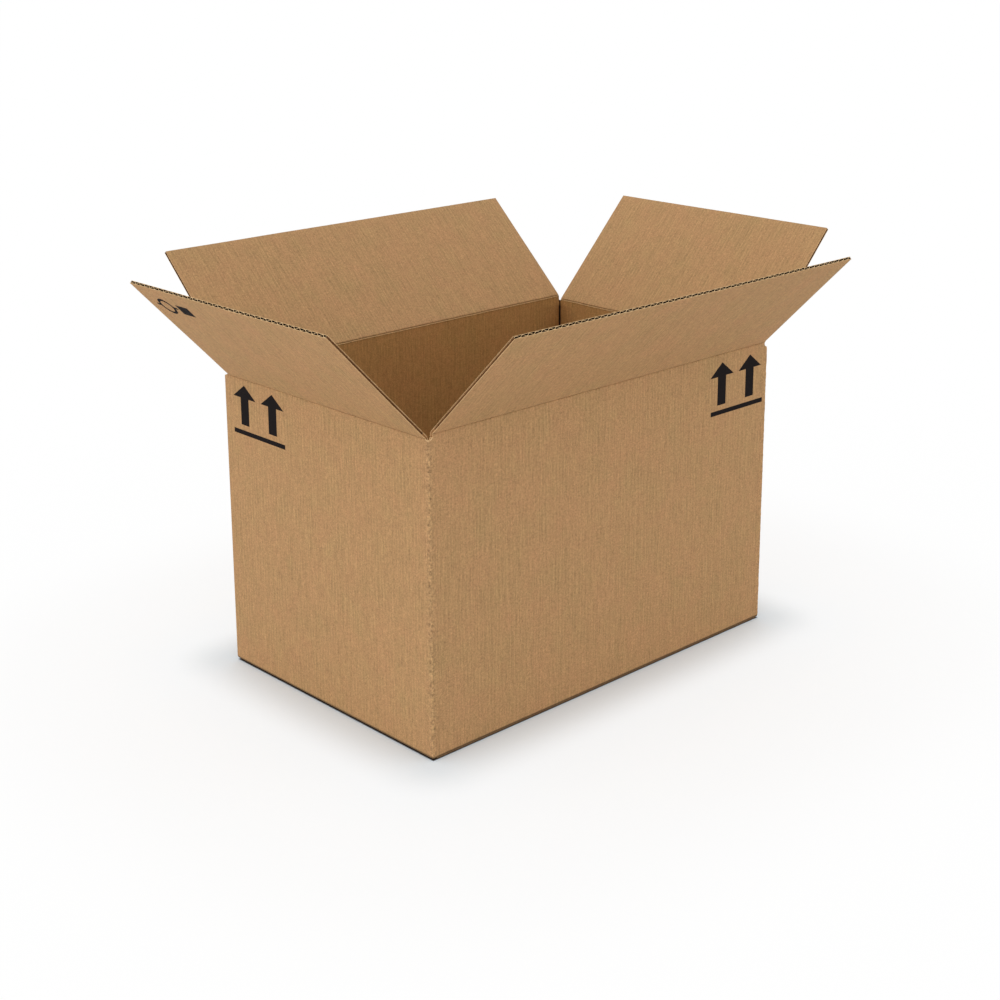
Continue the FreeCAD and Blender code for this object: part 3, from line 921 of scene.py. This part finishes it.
end_reach = HALF_LENGTH - BOARD - SHORT_PAIR_GAP / 2
side_reach = HALF_WIDTH - BOARD - SEAM / 2
for sign, label in ((-1, "left"), (1, "right")):
    axes = (Vector((0, -sign, 0)), Vector((0, 0, 1)), Vector((-sign, 0, 0)))
    origin = Vector((sign * (HALF_LENGTH - BOARD), 0, BOARD - OUTER_FACE))
    place_bottom(label, SHORT_FLAP, end_reach, 7 + sign, axes, origin)
for sign, label in ((-1, "front"), (1, "back")):
    axes = (Vector((sign, 0, 0)), Vector((0, 0, 1)), Vector((0, -sign, 0)))
    origin = Vector((0, sign * (HALF_WIDTH - BOARD), -OUTER_FACE))
    place_bottom(label, LONG_FLAP, side_reach, 12 + sign, axes, origin)


def make_bottom_folds():
    """The rounded lower edge of the two long walls."""
    shape = bmesh.new()
    layer, _, _, painted_shade = new_layers(shape)
    section = arc((HALF_WIDTH - END_LIFT, END_LIFT), END_LIFT, 270, 360, 8)
    section += [(HALF_WIDTH - BOARD, END_LIFT), (HALF_WIDTH - BOARD, 0.0)]
    steps = 92
    for sign in (-1, 1):
        rings = [[shape.verts.new((LONG_FLAP * (s / steps - 0.5), sign * y, z)) for y, z in section]
                 for s in range(steps + 1)]
        for ring in rings:
            for vertex in ring:
                # Painted shade darkens the fold's lowest few millimetres, where it meets the floor.
                vertex[painted_shade] = max(0.0, 1 - vertex.co.z / (3 * MM)) ** 0.4
        for first, second in zip(rings, rings[1:]):
            for i in range(len(section)):
                face = shape.faces.new((first[i - 1], first[i], second[i], second[i - 1]))
                for loop in face.loops:
                    loop[layer].uv = (loop.vert.co.x, loop.vert.co.z)
        for ring in (rings[0], rings[-1]):
            shape.faces.new(ring)
    return finish_piece("bottom_folds", shape, [kraft_facing], 40)


folds = make_bottom_folds()
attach(folds, "carton_body")

# %% [markdown]
# ## The glue tab
# The strip of walls ends in a tab that is glued inside the left wall. Its ends are cut on a
# slant, so that it stays clear of the flaps' creases.


# %% Glue tab
TAB_WIDTH, TAB_FOOT, TAB_TOP, TAB_SLANT = 35 * MM, 14 * MM, 295.5 * MM, 10 * MM


def make_glue_tab():
    shape = bmesh.new()
    layer = shape.loops.layers.uv.new("board")
    face_x = BOARD - HALF_LENGTH
    root, free = HALF_WIDTH - BOARD, HALF_WIDTH - BOARD - TAB_WIDTH
    outline = [(root, TAB_FOOT), (root, TAB_TOP), (free, TAB_TOP - TAB_SLANT), (free, TAB_FOOT + TAB_SLANT)]
    near = [shape.verts.new((face_x, y, z)) for y, z in outline]
    far = [shape.verts.new((face_x + BOARD, y, z)) for y, z in outline]
    shape.faces.new(near)
    shape.faces.new(far)
    for i in range(4):
        shape.faces.new((near[i - 1], near[i], far[i], far[i - 1])).material_index = 1 if i else 0
    for face in shape.faces:
        for loop in face.loops:
            loop[layer].uv = (loop.vert.co.y, loop.vert.co.z)
    return finish_piece("glue_tab", shape, [kraft_facing, cut_paper], 30)


tab = make_glue_tab()
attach(tab, "carton_body")

# %% [markdown]
# ## The print
# Two walls carry the plain handling sign for this way up: two arrows over a bar, in black ink.
# Flat ink is a thin layer, so each sign is a film a few hundredths of a millimetre proud of
# the paper. The ink soaks in unevenly, so a little brown shows through it.


# %% Ink
def make_ink():
    material, graph, shader, across, along, place = paper_graph("black_ink")
    colour, _, fibre = kraft_colour(graph, across, along, place)
    patch = graph.noise(place, 240.0, 4.0, 0.7)
    thin = graph.smooth(patch * 0.6 + fibre * 0.4, 0.62, 0.82)
    ink = graph.mix(patch, linear(22, 18, 19), linear(32, 27, 27))
    feed_paper(graph, shader, graph.mix(thin * 0.2, ink, colour), 0.7 + fibre * 0.2, 0.08, fibre * 0.02 * MM)
    return material


black_ink = make_ink()


# %% Film of ink
PROUD = 0.05 * MM


def arrow_outline(x, tip, head, foot):
    """One upright arrow, by the heights of its tip, its head's base and its foot."""
    half_head, half_shaft = 18.4 * MM, 6.5 * MM
    return [(x, tip), (x - half_head, head), (x - half_shaft, head), (x - half_shaft, foot),
            (x + half_shaft, foot), (x + half_shaft, head), (x + half_head, head)]


def film(name, outlines, place_point, start):
    """A thin layer of ink from flat outlines: (across, up) goes through place_point(across, up, proud)."""
    shape = bmesh.new()
    layer = shape.loops.layers.uv.new("board")
    for outline in outlines:
        under = [shape.verts.new(place_point(x, z, -PROUD)) for x, z in outline]
        over = [shape.verts.new(place_point(x, z, PROUD)) for x, z in outline]
        faces = [shape.faces.new(under), shape.faces.new(over)]
        for i in range(len(outline)):
            faces.append(shape.faces.new((under[i - 1], under[i], over[i], over[i - 1])))
        flat = dict(zip(under + over, outline + outline))
        for face in faces:
            for loop in face.loops:
                x, z = flat[loop.vert]
                loop[layer].uv = (start + x, z)
    shape.normal_update()
    bmesh.ops.triangulate(shape, faces=[f for f in shape.faces if len(f.verts) > 4])
    return finish_piece(name, shape, [black_ink], 30)


def wall_point(side):
    """From (across, up, proud) on a wall to the box's frame."""
    turned = Matrix.Rotation(math.radians(FLAPS[side]["turn"]), 4, "Z")
    distance = HALF_WIDTH if side in ("front", "back") else HALF_LENGTH
    return lambda x, z, proud: turned @ Vector((x, -distance - proud, z))


def level_bar(x0, x1, z0, z1, pieces=1):
    """A bar cut into pieces along its length, so that it can follow a warp."""
    edges = [x0 + (x1 - x0) * i / pieces for i in range(pieces + 1)]
    return [[(a, z0), (b, z0), (b, z1), (a, z1)] for a, b in zip(edges, edges[1:])]


# %% This way up
BAR_HALF = 41.5 * MM
SIGNS = {
    "front": {"arrows": (161.3, 205.9), "tip": 300.9, "head": 286.4, "foot": 256.1,
              "bar": (186.4, 250.6, 245.8)},
    "left": {"arrows": (-120.7, -75.6), "tip": 299.0, "head": 286.0, "foot": 258.4,
             "bar": (-98.1, 252.8, 248.2)},
}
for side, sign in SIGNS.items():
    tip, head, foot = (sign[part] * MM for part in ("tip", "head", "foot"))
    outlines = [arrow_outline(x * MM, tip, head, foot) for x in sign["arrows"]]
    middle, top, bottom = (place * MM for place in sign["bar"])
    outlines += level_bar(middle - BAR_HALF, middle + BAR_HALF, bottom, top)
    arrows = film("arrows_" + side, outlines, wall_point(side), FLAPS[side]["start"])
    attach(arrows, "carton_body")

# %% [markdown]
# The left flap carries a printer's register mark near its outer corner: a ring with two ticks,
# and a block for checking the ink. Such marks are on the waste or on a flap of many boxes.


# %% Register mark
def ring_outlines(x, z, radius, line, steps=48):
    """A ring as a row of four-sided pieces."""
    made = []
    for i in range(steps):
        a, b = (2 * math.pi * k / steps for k in (i, i + 1))
        made.append([(x + r * math.cos(t), z + r * math.sin(t))
                     for r, t in ((radius, a), (radius, b), (radius - line, b), (radius - line, a))])
    return made


def flap_point(side, seed):
    flap = FLAPS[side]
    return lambda x, z, proud: flap["leaned"] @ Vector((x, OUTER_FACE - proud + warp(x, z, seed), z))


mark_x, mark_z = -113.5 * MM, 124 * MM
ring_radius, ring_line = 11.5 * MM, 3.4 * MM
mark = ring_outlines(mark_x, mark_z, ring_radius, ring_line)
for x0, x1, half_line, pieces in ((-16.5, -11.6, 1.5, 2), (11.6, 16.5, 1.5, 2), (20, 39, 7, 8)):
    up = half_line * MM
    mark += level_bar(mark_x + x0 * MM, mark_x + x1 * MM, mark_z - up, mark_z + up, pieces)
register = film("register_mark", mark, flap_point("left", 4), FLAPS["left"]["start"])
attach(register, "left_flap")

# %% [markdown]
# ## Floor, light and camera
# The box stands on a white floor in an even white room. A low, soft lamp at the left makes the
# left wall lighter than the front one, and a weak one overhead lightens what faces up. The
# floor turns white to the camera away from the box, and beside the box it keeps a soft shadow.
# To the camera the floor is also painted darker and cooler near the box, and nearly black under
# its edges, as painted shade and a painted contact shadow.
# The camera is placed by a fit to the box's corners in the photograph. A lens shift keeps the
# box's uprights upright, and the camera rolls by a quarter of a degree.


# %% Floor and world
# Painted shade and shadow on the floor, seen only by the camera: a darker, cooler tone near the box and a
# nearly black contact shadow under its edges.
FLOOR_NEAR_SHADE, FLOOR_FAR = (0.91, 0.99, 1.05, 1), (1.03, 1.04, 1.04, 1)
FLOOR_CONTACT_SHADOW, FLOOR_BOUNCE = (0.06, 0.045, 0.035, 1), (0.9, 0.9, 0.9, 1)
ROOM_LIGHT = 0.885


def make_floor():
    material = bpy.data.materials.new("studio_floor")
    material.use_nodes = True
    graph = Graph(material.node_tree)
    output = material.node_tree.nodes["Material Output"]
    material.node_tree.nodes.remove(material.node_tree.nodes["Principled BSDF"])
    x, y, _ = graph.split(graph.get("ShaderNodeTexCoord", "Object"))
    gaps = [abs(x) - HALF_LENGTH, abs(y) - HALF_WIDTH]
    beyond = [graph.math("MAXIMUM", gap, 0.0) for gap in gaps]
    away = graph.math("SQRT", beyond[0] * beyond[0] + beyond[1] * beyond[1])
    under = graph.math("MAXIMUM", gaps[0], gaps[1])
    camera = graph.get("ShaderNodeLightPath", "Is Camera Ray")
    lifted = camera * (graph.smooth(away, 0.0, 72 * MM) * 0.73 + graph.smooth(away, 200 * MM, 400 * MM) * 0.2)
    # Painted shade near the box, fading over 150 mm, and a painted contact shadow under its edges.
    near_shade = graph.mix(graph.smooth(away, 0.0, 150 * MM), FLOOR_NEAR_SHADE, FLOOR_FAR)
    contact_shadow = graph.mix(graph.smooth(under, -1.5 * MM, 0.5 * MM), FLOOR_CONTACT_SHADOW, near_shade)
    tone = graph.mix(camera, FLOOR_BOUNCE, contact_shadow)
    paper = graph.get("ShaderNodeBsdfDiffuse", 0, None, {"Color": tone})
    white = graph.get("ShaderNodeEmission", 0, None, {"Color": (1, 1, 1, 1), "Strength": 1.0})
    surface = graph.get("ShaderNodeMixShader", 0, None, {0: lifted, 1: paper, 2: white})
    graph.feed(output.inputs["Surface"], surface)
    bpy.ops.mesh.primitive_plane_add(size=60)
    floor = bpy.context.object
    floor.name = "floor"
    floor.data.materials.append(material)


def make_world(strength):
    world = bpy.data.worlds.new("white_room")
    bpy.context.scene.world = world
    world.use_nodes = True
    graph = Graph(world.node_tree)
    background = world.node_tree.nodes["Background"]
    rays = graph.node("ShaderNodeLightPath")
    seen = graph.math("MAXIMUM", Value(graph, rays.outputs["Is Camera Ray"]),
                      graph.math("MAXIMUM", Value(graph, rays.outputs["Is Glossy Ray"]),
                                 Value(graph, rays.outputs["Is Transmission Ray"])))
    background.inputs["Color"].default_value = (1, 1, 1, 1)
    graph.feed(background.inputs["Strength"], strength + seen * (1 - strength))


make_floor()
make_world(ROOM_LIGHT)


# %% Lamps and camera
def add_sun(name, from_left, up, strength, softness):
    """A soft lamp far away: its angles from the front and from the floor, in degrees."""
    lamp = bpy.data.objects.new(name, bpy.data.lights.new(name, "SUN"))
    lamp.data.energy = strength
    lamp.data.angle = math.radians(softness)
    lamp.rotation_euler = (math.radians(90 - up), 0, math.radians(-from_left))
    bpy.context.scene.collection.objects.link(lamp)


add_sun("key", 95, 3, 0.65, 50)
add_sun("ceiling", 45, 75, 0.2, 120)

camera = bpy.data.objects.new("camera", bpy.data.cameras.new("camera"))
bpy.context.scene.collection.objects.link(camera)
camera.location = (-1.17021, -1.23224, 0.75723)
heading, tilt, roll = -43.388, 14.597, -0.24
turned = (Matrix.Rotation(math.radians(heading), 3, "Z") @ Matrix.Rotation(math.radians(90 - tilt), 3, "X")
          @ Matrix.Rotation(math.radians(roll), 3, "Z"))
camera.rotation_euler = turned.to_euler()
camera.data.sensor_width = 36
camera.data.lens = 62.37
camera.data.shift_y = -0.15
camera.data.clip_end = 100
bpy.context.scene.camera = camera
bpy.context.scene.view_settings.view_transform = "Standard"
